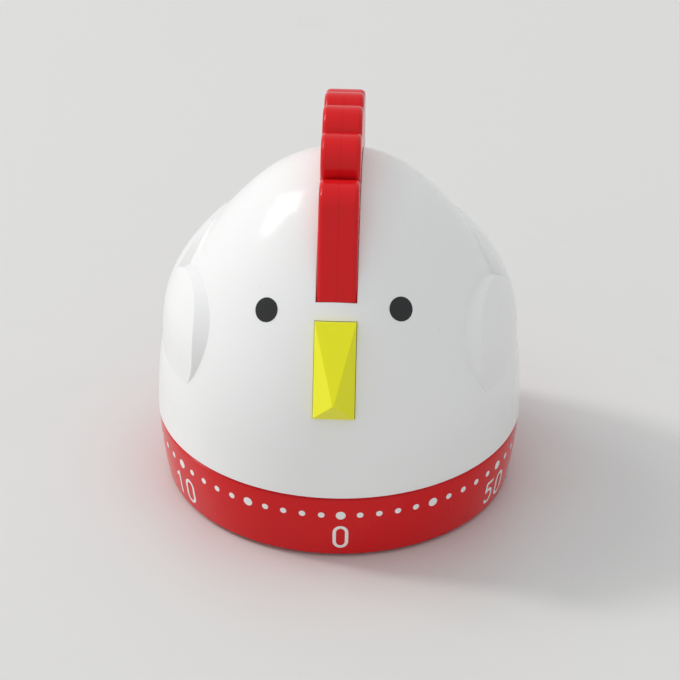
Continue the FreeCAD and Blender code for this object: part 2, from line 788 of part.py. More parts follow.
def train():
    second_turn = direction((0, 0), second_at)
    train_wheel("main_wheel_raw", s_int("main_teeth"), s.main_module.value, s.wheel_thickness, 12.0,
                (0, 0), s.arbor_radius.value + s.running_gap.value, second_turn)
    kept.pop("main_wheel_raw")
    wheel = doc.getObject("main_wheel_raw_blank")
    wheel.Label = "main_wheel_raw"
    rivet_at = polar(9.6, click_angle - 42)
    spring_rivet_at = polar(12.2, click_angle - 8)
    holes = [
        cylinder("click_hole", 0.7, 3, *rivet_at, 11.0),
        cylinder("click_spring_hole", 0.5, 3, *spring_rivet_at, 11.0),
    ]
    keep(cut("main_wheel_part", wheel, holes), "main_wheel")
    half_leaf = 180 / s_int("leaf_count")
    for name, module, low, high, centre, back in (
        ("second_pinion", s.main_module.value, 10.9, 14.0, second_at, (0, 0)),
        ("third_pinion", s.train_module.value, 9.5, 11.2, third_at, second_at),
        ("escape_pinion", s.train_module.value, 23.0, 25.2, escape_at, third_at),
    ):
        leaf_pinion(name, module, low, high, centre, direction(centre, back) + half_leaf)
    bore = s.staff_radius.value
    train_wheel("second_wheel", s_int("second_teeth"), s.train_module.value, s.train_thickness, 9.9,
                second_at, bore, direction(second_at, third_at))
    train_wheel("third_wheel", s_int("third_teeth"), s.train_module.value, s.train_thickness, 23.6,
                third_at, bore, direction(third_at, escape_at))
    outline = saw_outline(s_int("escape_teeth"), s.escape_radius.value, s.escape_radius.value - 1.5, 3.0)
    holes = [(0, 0, bore)] + [(*polar(2.8, 90 * index), 0.9) for index in range(4)]
    escape = shaped("escape_blank", outline, s.train_thickness, holes, 21.2, escape_at)
    keep(escape, "escape_wheel")


click_angle = 90.0


def s_int(alias):
    return int(sizes[alias])


def click_work():
    """Pawl riveted on the main wheel, with its tip between two ratchet teeth."""
    angle = click_angle
    pivot = polar(9.6, angle - 42)
    outline = [
        polar(5.15, angle - 3.0),
        polar(6.9, angle - 2.6),
        polar(8.7, angle - 20),
        polar(10.9, angle - 36),
        polar(11.0, angle - 46),
        polar(9.6, angle - 51),
        polar(8.3, angle - 45),
        polar(7.4, angle - 26),
        polar(5.75, angle - 10),
    ]
    outline = [(x - pivot[0], y - pivot[1]) for x, y in outline]
    keep(shaped("click_blank", outline, 1.0, [(0, 0, 0.75)], 13.4, pivot), "click")
    keep(stepped("click_pin_body", [(0.7, 2.5), (1.2, 2.8)], x=pivot[0], y=pivot[1], z=12.0), "click_pin")
    root = polar(12.2, angle - 8)
    spring = [
        polar(13.0, angle - 4), polar(13.0, angle - 12), polar(10.2, angle - 24),
        polar(9.9, angle - 23), polar(11.6, angle - 12), polar(11.6, angle - 4),
    ]
    strip = shaped("click_strip", spring, 0.8, (), 13.3, (0, 0))
    rivet = cylinder("click_strip_rivet", 0.5, 1.4, root[0], root[1], 12.0)
    keep(fused("click_spring_part", [strip, rivet]), "click_spring")


def spiral(start, stop, turns, first_angle, thickness):
    """Outline of a flat coiled strip, inner end first."""
    inner = []
    outer = []
    count = int(turns * 36)
    for step in range(count + 1):
        share = step / count
        radius = start + (stop - start) * share
        angle = first_angle + 360 * turns * share
        inner.append(polar(radius, angle))
        outer.append(polar(radius + thickness, angle))
    return inner, outer


def springs():
    turns = 6
    post_angle = direction((0, 0), post_at)
    inner, outer = spiral(3.55, 12.6, turns, post_angle, 0.3)
    tail = [polar(13.75, post_angle), polar(14.05, post_angle)]
    strip = inner[:-1] + tail + list(reversed(outer[:-1]))
    coil = shaped("mainspring_coil", strip, 5.0, (), 15.1)
    loop = cut(
        "mainspring_loop",
        cylinder("mainspring_loop_outer", 1.25, 5.0, *post_at, 15.1),
        [cylinder("mainspring_loop_inner", 0.85, 7.0, *post_at, 14.5)],
    )
    keep(fused("mainspring_part", [coil, loop]), "mainspring")
    keep(cylinder("spring_post_body", 0.8, s.upper_plate_level + s.plate_thickness - 14.6, *post_at, 14.6), "spring_post")
    keep(cylinder("stop_pin_body", 0.7, s.upper_plate_level + s.plate_thickness - 23.0, *stop_at, 23.0), "stop_pin")
    inner, outer = spiral(0.75, 4.6, 5, balance_angle, 0.15)
    tail = [polar(4.95, balance_angle), polar(5.1, balance_angle)]
    hair = shaped("hairspring_coil", inner[:-1] + tail + list(reversed(outer[:-1])), 0.5, (), 18.2, balance_at)
    keep(hair, "hairspring")
    stud = cylinder("hairspring_stud_body", 0.6, s.upper_plate_level + s.plate_thickness - 17.8, *stud_at, 17.8)
    keep(stud, "hairspring_stud")


def balance():
    """Staff, balance wheel and anchor whose two pins straddle the escape wheel."""
    bottom = s.lower_plate_level
    length = s.upper_plate_level + s.plate_thickness - bottom
    staff = stepped(
        "balance_staff_body",
        [
            (s.pivot_radius, s.plate_thickness + 0.1),
            (s.staff_radius, length - s.plate_thickness - 0.1),
            (s.pivot_radius, length),
        ],
        x=balance_at[0], y=balance_at[1], z=bottom,
    )
    keep(staff, "balance_staff")
    rim = turned(
        "balance_rim",
        [(s.balance_radius - 1.4, 0), (s.balance_radius, 0), (s.balance_radius, 1.4), (s.balance_radius - 1.4, 1.4)],
        x=balance_at[0], y=balance_at[1], z=16.0,
    )
    arm = box("balance_arm", 2 * s.balance_radius - 2, 1.2, 1.0)
    along_x, along_y = polar(s.balance_radius.value - 1, balance_angle + 90)
    side_x, side_y = polar(0.6, balance_angle)
    turn = Rotation(upright, balance_angle + 90)
    place(arm, balance_at[0] - along_x + side_x, balance_at[1] - along_y + side_y, 16.0, turn)
    hub = cylinder("balance_hub", 1.6, 1.4, *balance_at, 16.0)
    bore = cylinder("balance_bore", s.staff_radius, 3, *balance_at, 15.5)
    keep(cut("balance_part", fused("balance_solid", [rim, arm, hub]), [bore]), "balance_wheel")
    toward = direction(escape_at, balance_at)
    pins = []
    arms = [cylinder("anchor_hub", 1.7, 0.8, *balance_at, 22.4)]
    reach = s.escape_radius.value + 0.35 + 0.75
    for index, side in enumerate((-1, 1), start=1):
        pin_x = escape_at[0] + polar(reach, toward + side * 50)[0]
        pin_y = escape_at[1] + polar(reach, toward + side * 50)[1]
        pins.append(cylinder(f"anchor_pin_{index}", 0.35, 2.0, pin_x, pin_y, 20.8))
        angle = direction(balance_at, (pin_x, pin_y))
        length = math.hypot(pin_x - balance_at[0], pin_y - balance_at[1]) + 0.7
        offset = polar(0.7, angle - 90)
        arm = box(f"anchor_arm_{index}", length, 1.4, 0.8)
        place(arm, balance_at[0] + offset[0], balance_at[1] + offset[1], 22.4, Rotation(upright, angle))
        arms.append(arm)
    hole = cylinder("anchor_bore", s.staff_radius, 3, *balance_at, 21.5)
    keep(cut("anchor_part", fused("anchor_solid", arms + pins), [hole]), "anchor")


def bell_work():
    points = [
        (3.0, s.bell_top - s.bell_wall),
        (s.bell_radius - 6.0, s.bell_top - s.bell_wall),
        (s.bell_radius - s.bell_wall, s.bell_top - 6.0),
        (s.bell_radius - s.bell_wall, s.bell_bottom),
        (s.bell_radius, s.bell_bottom),
        (s.bell_radius, s.bell_top - 6.0),
        (s.bell_radius - 6.0, s.bell_top),
        (3.0, s.bell_top),
    ]
    bell = turned("bell_body", points, {1: (s.bell_wall * 0 + 5.4, 1), 5: (6.0, -1)})
    keep(bell, "bell")
    bush_bore = s.arbor_radius + s.running_gap
    shoulder = s.bell_top - s.bell_wall - s.upper_plate_level
    bush = stepped(
        "bell_bush_body",
        [(4.5, 1.2), (6.0, 2.2), (4.0, shoulder), (2.98, shoulder + 3.2)],
        bore=bush_bore, z=s.upper_plate_level,
    )
    keep(bush, "bell_bush")
    washer = cut(
        "bell_washer_part",
        cylinder("bell_washer_disc", 5.0, 0.5, 0, 0, s.bell_top),
        [cylinder("bell_washer_hole", 3.0, 2, 0, 0, s.bell_top - 0.5)],
    )
    keep(washer, "bell_washer")
    keep(hexagon("bell_nut", 4.8, 1.8, 3.0, (0, 0), s.bell_top + 0.5), "bell_nut")


def hammer():
    """Hammer arbor in a bush of the upper plate, striking arm above and trip arm below."""
    bush_top = s.upper_plate_level + s.plate_thickness + 0.8
    bush = cut(
        "hammer_bush_part",
        cylinder("hammer_bush_tube", 1.8, 2.5, *hammer_at, s.upper_plate_level - 0.5),
        [cylinder("hammer_bush_bore", 0.8 + s.running_gap, 4, *hammer_at, s.upper_plate_level - 1)],
    )
    keep(bush, "hammer_bush")
    keep(cylinder("hammer_arbor_body", 0.8, 8.6, *hammer_at, 21.2), "hammer_arbor")
    angle = direction(hammer_at, head_at)
    span = math.hypot(head_at[0] - hammer_at[0], head_at[1] - hammer_at[1])
    offset = polar(0.9, angle - 90)
    arm = box("hammer_arm_bar", span, 1.8, 1.0)
    place(arm, hammer_at[0] + offset[0], hammer_at[1] + offset[1], 28.6, Rotation(upright, angle))
    boss = cylinder("hammer_arm_boss", 1.8, 1.0, *hammer_at, 28.6)
    tip = cylinder("hammer_arm_tip", 1.6, 1.0, *head_at, 28.6)
    bore = cylinder("hammer_arm_bore", 0.8, 3, *hammer_at, 28.0)
    keep(cut("hammer_arm_part", fused("hammer_arm_solid", [arm, boss, tip]), [bore]), "hammer_arm")
    keep(cylinder("hammer_head_body", 2.0, 5.4, *head_at, 29.6), "hammer_head")
    lever_angle = direction(hammer_at, (0, 0))
    lever = box("trip_lever_bar", 14.5 - 6.2, 1.4, 1.0)
    offset = polar(0.7, lever_angle - 90)
    place(lever, hammer_at[0] + offset[0], hammer_at[1] + offset[1], 21.4, Rotation(upright, lever_angle))
    lever_boss = cylinder("trip_lever_boss", 1.6, 1.0, *hammer_at, 21.4)
    lever_bore = cylinder("trip_lever_bore", 0.8, 3, *hammer_at, 20.5)
    keep(cut("trip_arm_part", fused("trip_arm_solid", [lever, lever_boss]), [lever_bore]), "trip_arm")
    inner, outer = spiral(0.9, 1.6, 2, angle + 180, 0.25)
    tail = [polar(6.0, angle + 182), polar(6.0, angle + 178)]
    strip = inner[:-1] + tail + list(reversed(outer[:-1]))
    coil = shaped("hammer_spring_coil", strip, 0.6, (), 24.6, hammer_at)
    keep(coil, "hammer_spring")


def write_parts():
    doc.recompute()
    for thing in doc.Objects:
        if "Invalid" in thing.State or "Error" in thing.State:
            raise RuntimeError(f"{thing.Name} has state {thing.State}")
    for label, thing in kept.items():
        shape = thing.Shape
        if shape.isNull() or not shape.isValid():
            raise RuntimeError(f"{label} has no valid shape")
        shape.exportStep(os.path.join("parts", label + ".step"))
        print(label, len(shape.Solids), round(shape.Volume, 2))


dome_shell()
comb()
beak()
dial_ring()
bottom_cover()
plates()
pillars()
main_arbor()
arbor_pieces()
train()
click_work()
springs()
balance()
bell_work()
hammer()
write_parts()
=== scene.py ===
import bpy
import math
from mathutils import Matrix, Vector
from mathutils.bvhtree import BVHTree


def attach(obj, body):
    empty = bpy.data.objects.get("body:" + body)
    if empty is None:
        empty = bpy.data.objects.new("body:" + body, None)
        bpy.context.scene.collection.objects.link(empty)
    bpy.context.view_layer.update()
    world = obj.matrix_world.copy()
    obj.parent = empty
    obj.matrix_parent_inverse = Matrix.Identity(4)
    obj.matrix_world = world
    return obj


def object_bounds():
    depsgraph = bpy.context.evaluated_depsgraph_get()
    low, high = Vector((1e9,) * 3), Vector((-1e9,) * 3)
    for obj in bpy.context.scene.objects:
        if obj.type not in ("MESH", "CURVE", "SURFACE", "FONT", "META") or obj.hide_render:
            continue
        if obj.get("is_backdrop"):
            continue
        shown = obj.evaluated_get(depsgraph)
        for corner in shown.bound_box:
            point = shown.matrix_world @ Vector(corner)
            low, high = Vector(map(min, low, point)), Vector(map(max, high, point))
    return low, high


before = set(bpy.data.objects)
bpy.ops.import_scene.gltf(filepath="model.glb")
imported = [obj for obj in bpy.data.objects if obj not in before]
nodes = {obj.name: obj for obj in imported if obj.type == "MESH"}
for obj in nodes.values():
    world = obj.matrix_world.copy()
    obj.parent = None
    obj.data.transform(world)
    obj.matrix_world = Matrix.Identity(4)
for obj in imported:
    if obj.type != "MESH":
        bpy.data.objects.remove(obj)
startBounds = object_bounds()
mm = 0.001
print("frame loaded:", len(nodes), "nodes")


def tree(node):
    mesh = nodes[node].data
    return BVHTree.FromPolygons([v.co for v in mesh.vertices], [p.vertices for p in mesh.polygons])


def meshPiece(name, verts, faces, material, body, smooth=True):
    mesh = bpy.data.meshes.new(name)
    mesh.from_pydata(verts, [], faces)
    mesh.update()
    for poly in mesh.polygons:
        poly.use_smooth = smooth
    obj = bpy.data.objects.new(name, mesh)
    bpy.context.scene.collection.objects.link(obj)
    mesh.materials.append(material)
    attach(obj, body)
    return obj


def node(graph, kind, x=0, y=0, **inputs):
    made = graph.nodes.new(kind)
    made.location = (x, y)
    for key, value in inputs.items():
        made.inputs[key.replace("_", " ")].default_value = value
    return made


def mathNode(graph, operation, first, second=None, clamp=False):
    made = graph.nodes.new("ShaderNodeMath")
    made.operation = operation
    made.use_clamp = clamp
    for slot, value in enumerate((first, second)):
        if value is None:
            continue
        if isinstance(value, (int, float)):
            made.inputs[slot].default_value = value
        else:
            graph.links.new(value, made.inputs[slot])
    return made.outputs[0]


def mixColour(graph, factor, first, second, blend="MIX"):
    made = graph.nodes.new("ShaderNodeMix")
    made.data_type = "RGBA"
    made.blend_type = blend
    for slot, value in ((0, factor), (6, first), (7, second)):
        if isinstance(value, (int, float, tuple)):
            made.inputs[slot].default_value = value
        else:
            graph.links.new(value, made.inputs[slot])
    return made.outputs[2]


def ramp(graph, value, low, high):
    made = graph.nodes.new("ShaderNodeMapRange")
    made.inputs["From Min"].default_value = low
    made.inputs["From Max"].default_value = high
    graph.links.new(value, made.inputs["Value"])
    return made.outputs[0]


def newGroup(name, inputs, outputs):
    group = bpy.data.node_groups.new(name, "ShaderNodeTree")
    for label, kind, value in inputs:
        socket = group.interface.new_socket(label, in_out="INPUT", socket_type=kind)
        socket.default_value = value
    for label, kind in outputs:
        group.interface.new_socket(label, in_out="OUTPUT", socket_type=kind)
    start = group.nodes.new("NodeGroupInput")
    end = group.nodes.new("NodeGroupOutput")
    start.location = (-1200, 0)
    end.location = (900, 0)
    return group, start, end


# moulded skin: mottling, orange peel, handling scratches and dust
def buildSkin():
    group, start, end = newGroup(
        "mouldedSkin",
        [
            ("Colour", "NodeSocketColor", (0.8, 0.8, 0.8, 1)),
            ("Roughness", "NodeSocketFloat", 0.2),
            ("Mottle", "NodeSocketFloat", 0.03),
            ("Peel", "NodeSocketFloat", 0.05),
            ("Scratches", "NodeSocketFloat", 0.2),
            ("Dust", "NodeSocketFloat", 0.2),
        ],
        [("Colour", "NodeSocketColor"), ("Roughness", "NodeSocketFloat"), ("Normal", "NodeSocketVector")],
    )
    put = group.links.new
    where = group.nodes.new("ShaderNodeTexCoord")
    cloud = node(group, "ShaderNodeTexNoise", -800, 300, Scale=70, Detail=3)
    put(where.outputs["Object"], cloud.inputs["Vector"])
    shade = mathNode(group, "SUBTRACT", cloud.outputs[0], 0.5)
    shade = mathNode(group, "MULTIPLY", shade, start.outputs["Mottle"])
    shade = mathNode(group, "ADD", shade, 1.0)
    value = group.nodes.new("ShaderNodeCombineColor")
    for slot in range(3):
        put(shade, value.inputs[slot])
    tinted = mixColour(group, 1.0, start.outputs["Colour"], value.outputs[0], "MULTIPLY")
    stretch = node(group, "ShaderNodeMapping", -1000, -100)
    stretch.inputs["Scale"].default_value = (1.0, 1.0, 0.04)
    stretch.inputs["Rotation"].default_value = (0.5, 0.9, 0.3)
    put(where.outputs["Object"], stretch.inputs["Vector"])
    lines = node(group, "ShaderNodeTexNoise", -800, -100, Scale=1400, Detail=1)
    put(stretch.outputs[0], lines.inputs["Vector"])
    patch = node(group, "ShaderNodeTexNoise", -800, -300, Scale=110, Detail=2)
    put(where.outputs["Object"], patch.inputs["Vector"])
    lineMask = ramp(group, lines.outputs[0], 0.70, 0.76)
    patchMask = ramp(group, patch.outputs[0], 0.5, 0.62)
    scratch = mathNode(group, "MULTIPLY", lineMask, patchMask)
    scratch = mathNode(group, "MULTIPLY", scratch, start.outputs["Scratches"])
    cells = node(group, "ShaderNodeTexVoronoi", -800, -500, Scale=420)
    put(where.outputs["Object"], cells.inputs["Vector"])
    chosen = group.nodes.new("ShaderNodeSeparateColor")
    put(cells.outputs["Color"], chosen.inputs[0])
    spot = ramp(group, cells.outputs["Distance"], 0.10, 0.05)
    few = ramp(group, chosen.outputs[0], 0.90, 0.92)
    fleck = mathNode(group, "MULTIPLY", spot, few)
    fleck = mathNode(group, "MULTIPLY", fleck, start.outputs["Dust"])
    dusted = mixColour(group, fleck, tinted, (0.45, 0.43, 0.40, 1))
    rough = mathNode(group, "MULTIPLY", mathNode(group, "SUBTRACT", patch.outputs[0], 0.5), 0.12)
    rough = mathNode(group, "ADD", start.outputs["Roughness"], rough)
    rough = mathNode(group, "ADD", rough, mathNode(group, "MULTIPLY", scratch, 0.25))
    rough = mathNode(group, "ADD", rough, mathNode(group, "MULTIPLY", fleck, 0.4), True)
    peel = node(group, "ShaderNodeTexNoise", -800, -700, Scale=260, Detail=2)
    put(where.outputs["Object"], peel.inputs["Vector"])
    height = mathNode(group, "SUBTRACT", peel.outputs[0], mathNode(group, "MULTIPLY", scratch, 0.6))
    bump = node(group, "ShaderNodeBump", 500, -400, Distance=0.0002)
    put(start.outputs["Peel"], bump.inputs["Strength"])
    put(height, bump.inputs["Height"])
    put(dusted, end.inputs["Colour"])
    put(rough, end.inputs["Roughness"])
    put(bump.outputs[0], end.inputs["Normal"])
    return group


# metal grain: drawn lines and light tarnish
def buildGrain():
    group, start, end = newGroup(
        "metalGrain",
        [
            ("Colour", "NodeSocketColor", (0.6, 0.6, 0.6, 1)),
            ("Roughness", "NodeSocketFloat", 0.3),
            ("Lines", "NodeSocketFloat", 0.3),
            ("Tarnish", "NodeSocketFloat", 0.2),
        ],
        [("Colour", "NodeSocketColor"), ("Roughness", "NodeSocketFloat"), ("Normal", "NodeSocketVector")],
    )
    put = group.links.new
    where = group.nodes.new("ShaderNodeTexCoord")
    stretch = node(group, "ShaderNodeMapping", -1000, 0)
    stretch.inputs["Scale"].default_value = (0.05, 1.0, 1.0)
    put(where.outputs["Object"], stretch.inputs["Vector"])
    lines = node(group, "ShaderNodeTexNoise", -800, 0, Scale=2600, Detail=2)
    put(stretch.outputs[0], lines.inputs["Vector"])
    cloud = node(group, "ShaderNodeTexNoise", -800, -300, Scale=240, Detail=4)
    put(where.outputs["Object"], cloud.inputs["Vector"])
    stain = mathNode(group, "MULTIPLY", ramp(group, cloud.outputs[0], 0.5, 0.75), start.outputs["Tarnish"])
    dull = mixColour(group, stain, start.outputs["Colour"], (0.22, 0.17, 0.11, 1))
    rough = mathNode(group, "SUBTRACT", lines.outputs[0], 0.5)
    rough = mathNode(group, "MULTIPLY", rough, start.outputs["Lines"])
    rough = mathNode(group, "ADD", rough, start.outputs["Roughness"])
    rough = mathNode(group, "ADD", rough, mathNode(group, "MULTIPLY", stain, 0.3), True)
    bump = node(group, "ShaderNodeBump", 500, -300, Strength=0.15, Distance=0.00005)
    put(lines.outputs[0], bump.inputs["Height"])
    put(dull, end.inputs["Colour"])
    put(rough, end.inputs["Roughness"])
    put(bump.outputs[0], end.inputs["Normal"])
    return group


skinGroup = buildSkin()
grainGroup = buildGrain()
print("shader groups built")


def newMaterial(name):
    material = bpy.data.materials.new(name)
    material.use_nodes = True
    shader = material.node_tree.nodes["Principled BSDF"]
    return material, material.node_tree, shader


def plastic(name, look):
    material, nt, shader = newMaterial(name)
    skin = nt.nodes.new("ShaderNodeGroup")
    skin.node_tree = skinGroup
    skin.location = (-400, 0)
    for label in ("Roughness", "Mottle", "Peel", "Scratches", "Dust"):
        skin.inputs[label].default_value = look[label.lower()]
    skin.inputs["Colour"].default_value = (*look["colour"], 1)
    nt.links.new(skin.outputs["Colour"], shader.inputs["Base Color"])
    nt.links.new(skin.outputs["Roughness"], shader.inputs["Roughness"])
    nt.links.new(skin.outputs["Normal"], shader.inputs["Normal"])
    shader.inputs["IOR"].default_value = look["ior"]
    shader.inputs["Specular IOR Level"].default_value = look["gloss"]
    shader.inputs["Subsurface Weight"].default_value = look["glow"]
    shader.inputs["Subsurface Radius"].default_value = look["glowReach"]
    shader.inputs["Subsurface Scale"].default_value = 0.002
    return material


def metal(name, look):
    material, nt, shader = newMaterial(name)
    grain = nt.nodes.new("ShaderNodeGroup")
    grain.node_tree = grainGroup
    grain.location = (-400, 0)
    for label in ("Roughness", "Lines", "Tarnish"):
        grain.inputs[label].default_value = look[label.lower()]
    grain.inputs["Colour"].default_value = (*look["colour"], 1)
    nt.links.new(grain.outputs["Colour"], shader.inputs["Base Color"])
    nt.links.new(grain.outputs["Roughness"], shader.inputs["Roughness"])
    nt.links.new(grain.outputs["Normal"], shader.inputs["Normal"])
    shader.inputs["Metallic"].default_value = 1.0
    return material


# dome, ring, comb, beak and cover plastics
domeLook = {
    "colour": (0.86, 0.86, 0.85), "roughness": 0.16, "mottle": 0.02, "peel": 0.05, "scratches": 0.25,
    "dust": 0.15, "gloss": 0.5, "ior": 1.49, "glow": 0.12, "glowReach": (1.0, 0.9, 0.8),
}
redLook = {
    "colour": (0.66, 0.009, 0.012), "roughness": 0.20, "mottle": 0.08, "peel": 0.06, "scratches": 0.5,
    "dust": 0.25, "gloss": 0.22, "ior": 1.49, "glow": 0.05, "glowReach": (1.0, 0.2, 0.1),
}
beakLook = {
    "colour": (0.85, 0.83, 0.014), "roughness": 0.24, "mottle": 0.04, "peel": 0.06, "scratches": 0.3,
    "dust": 0.2, "gloss": 0.28, "ior": 1.49, "glow": 0.10, "glowReach": (1.0, 0.9, 0.2),
}
coverLook = {
    "colour": (0.09, 0.09, 0.095), "roughness": 0.45, "mottle": 0.2, "peel": 0.35, "scratches": 1.0,
    "dust": 0.6, "gloss": 0.5, "ior": 1.46, "glow": 0.0, "glowReach": (1.0, 1.0, 1.0),
}

domePlastic = plastic("domePlastic", domeLook)
ringPlastic = plastic("ringPlastic", redLook)
combPlastic = plastic("combPlastic", redLook)
beakPlastic = plastic("beakPlastic", beakLook)
coverPlastic = plastic("coverPlastic", coverLook)


# parting line round the middle of the comb
seamLook = {"halfWidth": 0.10 * mm, "shade": (0.30, 0.004, 0.008, 1), "strength": 0.25}


def addSeam(material, look):
    nt = material.node_tree
    shader = nt.nodes["Principled BSDF"]
    where = nt.nodes.new("ShaderNodeTexCoord")
    split = nt.nodes.new("ShaderNodeSeparateXYZ")
    nt.links.new(where.outputs["Object"], split.inputs[0])
    side = mathNode(nt, "ABSOLUTE", split.outputs[0])
    mask = ramp(nt, side, look["halfWidth"], look["halfWidth"] * 0.4)
    mask = mathNode(nt, "MULTIPLY", mask, look["strength"])
    base = shader.inputs["Base Color"].links[0].from_socket
    nt.links.new(mixColour(nt, mask, base, look["shade"]), shader.inputs["Base Color"])
    bump = node(nt, "ShaderNodeBump", 0, -400, Strength=0.4, Distance=0.0001)
    nt.links.new(mask, bump.inputs["Height"])
    nt.links.new(shader.inputs["Normal"].links[0].from_socket, bump.inputs["Normal"])
    nt.links.new(bump.outputs[0], shader.inputs["Normal"])


addSeam(combPlastic, seamLook)


# metals of the movement and the bell
steelLook = {"colour": (0.56, 0.56, 0.57), "roughness": 0.32, "lines": 0.3, "tarnish": 0.15}
springLook = {"colour": (0.20, 0.22, 0.28), "roughness": 0.28, "lines": 0.2, "tarnish": 0.1}
brassLook = {"colour": (0.72, 0.50, 0.20), "roughness": 0.30, "lines": 0.35, "tarnish": 0.35}
bellLook = {"colour": (0.72, 0.72, 0.73), "roughness": 0.12, "lines": 0.15, "tarnish": 0.1}

steel = metal("steel", steelLook)
springSteel = metal("springSteel", springLook)
brass = metal("brass", brassLook)
bellSteel = metal("bellSteel", bellLook)

plasticNodes = {
    "dome_shell": domePlastic, "comb": combPlastic, "dial_ring": ringPlastic,
    "beak": beakPlastic, "bottom_cover": coverPlastic, "bell": bellSteel,
}
brassWords = ("_wheel", "plate", "pillar", "bush", "trip_cam", "stop_arm", "anchor")


def materialFor(name):
    if name in plasticNodes:
        return plasticNodes[name]
    if name in ("ratchet_wheel", "spring_post", "hairspring_stud"):
        return steel
    if "spring" in name:
        return springSteel
    if any(word in name for word in brassWords):
        return brass
    return steel


for name, obj in nodes.items():
    obj.data.materials.clear()
    obj.data.materials.append(materialFor(name))
print("materials set on", len(nodes), "nodes")


# minute scale printed on the ring, in millimetres
scaleLook = {
    "colour": (0.86, 0.85, 0.84), "bigDot": 0.92, "smallDot": 0.62, "dotHeight": 10.6,
    "digitFoot": 2.55, "digitHeight": 5.5, "digitWidth": 3.1, "spacing": 4.1, "stroke": 0.64,
    "turn": 2.6, "lift": 0.035,
}
eyeLook = {
    "colour": (0.008, 0.008, 0.009), "radius": 2.3, "across": 28.0, "turn": -0.95, "height": 48.6,
    "lean": 0.45, "lift": 0.04,
}


def inkMaterial(name, colour, roughness, cover):
    material, nt, shader = newMaterial(name)
    where = nt.nodes.new("ShaderNodeTexCoord")
    wear = node(nt, "ShaderNodeTexNoise", -600, 0, Scale=900, Detail=3)
    nt.links.new(where.outputs["Object"], wear.inputs["Vector"])
    thin = ramp(nt, wear.outputs[0], 0.62, 0.80)
    thin = mathNode(nt, "MULTIPLY", thin, cover)
    worn = tuple(0.7 * part + 0.02 for part in colour)
    nt.links.new(mixColour(nt, thin, (*colour, 1), (*worn, 1)), shader.inputs["Base Color"])
    dull = mathNode(nt, "ADD", roughness, mathNode(nt, "MULTIPLY", wear.outputs[0], 0.12))
    nt.links.new(dull, shader.inputs["Roughness"])
    bump = node(nt, "ShaderNodeBump", 0, -300, Strength=0.12, Distance=0.00005)
    nt.links.new(wear.outputs[0], bump.inputs["Height"])
    nt.links.new(bump.outputs[0], shader.inputs["Normal"])
    return material


whiteInk = inkMaterial("whiteInk", scaleLook["colour"], 0.25, 0.5)
blackInk = inkMaterial("blackInk", eyeLook["colour"], 0.22, 0.5)
ringTree = tree("dial_ring")
domeTree = tree("dome_shell")


def onRing(across, height, azimuth):
    # across is millimetres to the viewer's right of the azimuth, on the ring's outside
    angle = math.radians(azimuth) + across / 34.6
    way = Vector((math.sin(angle), -math.cos(angle), 0))
    start = way * 0.05 + Vector((0, 0, height * mm))
    hit = ringTree.ray_cast(start, -way)[0]
    return hit + way * scaleLook["lift"] * mm


def discShape(radius, rings=3, around=28):
    points = [(0.0, 0.0)]
    faces = []
    for ring in range(1, rings + 1):
        for step in range(around):
            angle = 2 * math.pi * step / around
            points.append((radius * ring / rings * math.cos(angle), radius * ring / rings * math.sin(angle)))
    for step in range(around):
        faces.append((0, 1 + step, 1 + (step + 1) % around))
    for ring in range(1, rings):
        low, high = 1 + (ring - 1) * around, 1 + ring * around
        for step in range(around):
            after = (step + 1) % around
            faces.append((low + step, high + step, high + after, low + after))
    return points, faces


def strokeShape(path, width, closed=False):
    # a flat ribbon with round ends along a path of (x, y) points
    half = width / 2
    points = []
    faces = []
    count = len(path)
    for index, (x, y) in enumerate(path):
        before = path[(index - 1) % count] if closed or index > 0 else path[index]
        after = path[(index + 1) % count] if closed or index < count - 1 else path[index]
        length = math.hypot(after[0] - before[0], after[1] - before[1])
        nx, ny = -(after[1] - before[1]) / length, (after[0] - before[0]) / length
        points += [(x + nx * half, y + ny * half), (x - nx * half, y - ny * half)]
    spans = count if closed else count - 1
    for index in range(spans):
        after = (index + 1) % count
        faces.append((2 * index, 2 * index + 1, 2 * after + 1, 2 * after))
    if not closed:
        for x, y in (path[0], path[-1]):
            base = len(points)
            shape, cap = discShape(half, 1, 14)
            points += [(x + px, y + py) for px, py in shape]
            faces += [tuple(base + corner for corner in face) for face in cap]
    return points, faces


def arc(cx, cy, rx, ry, start, stop, steps=14):
    found = []
    for step in range(steps + 1):
        angle = math.radians(start + (stop - start) * step / steps)
        found.append((cx + rx * math.cos(angle), cy + ry * math.sin(angle)))
    return found


def fine(path, step=0.35):
    found = [path[0]]
    for (ax, ay), (bx, by) in zip(path, path[1:]):
        parts = max(1, int(math.hypot(bx - ax, by - ay) / step))
        for part in range(1, parts + 1):
            found.append((ax + (bx - ax) * part / parts, ay + (by - ay) * part / parts))
    return found


# digit strokes inside a box 2 wide and 2 high, centred on the digit
digitStrokes = {
    "0": [(arc(0, 0.45, 0.82, 0.50, 0, 180) + arc(0, -0.45, 0.82, 0.50, 180, 360), True)],
    "1": [([(-0.55, 0.55), (0.12, 0.92), (0.12, -0.92)], False)],
    "2": [(arc(0, 0.42, 0.78, 0.50, 165, -35) + [(-0.80, -0.92), (0.82, -0.92)], False)],
    "3": [(arc(0, 0.46, 0.70, 0.46, 150, -80) + arc(0, -0.46, 0.82, 0.48, 80, -150), False)],
    "4": [([(0.30, 0.92), (-0.85, -0.42), (0.90, -0.42)], False), ([(0.42, 0.15), (0.42, -0.92)], False)],
    "5": [([(0.72, 0.92), (-0.58, 0.92), (-0.70, 0.14)] + arc(-0.02, -0.32, 0.80, 0.60, 125, -145), False)],
}


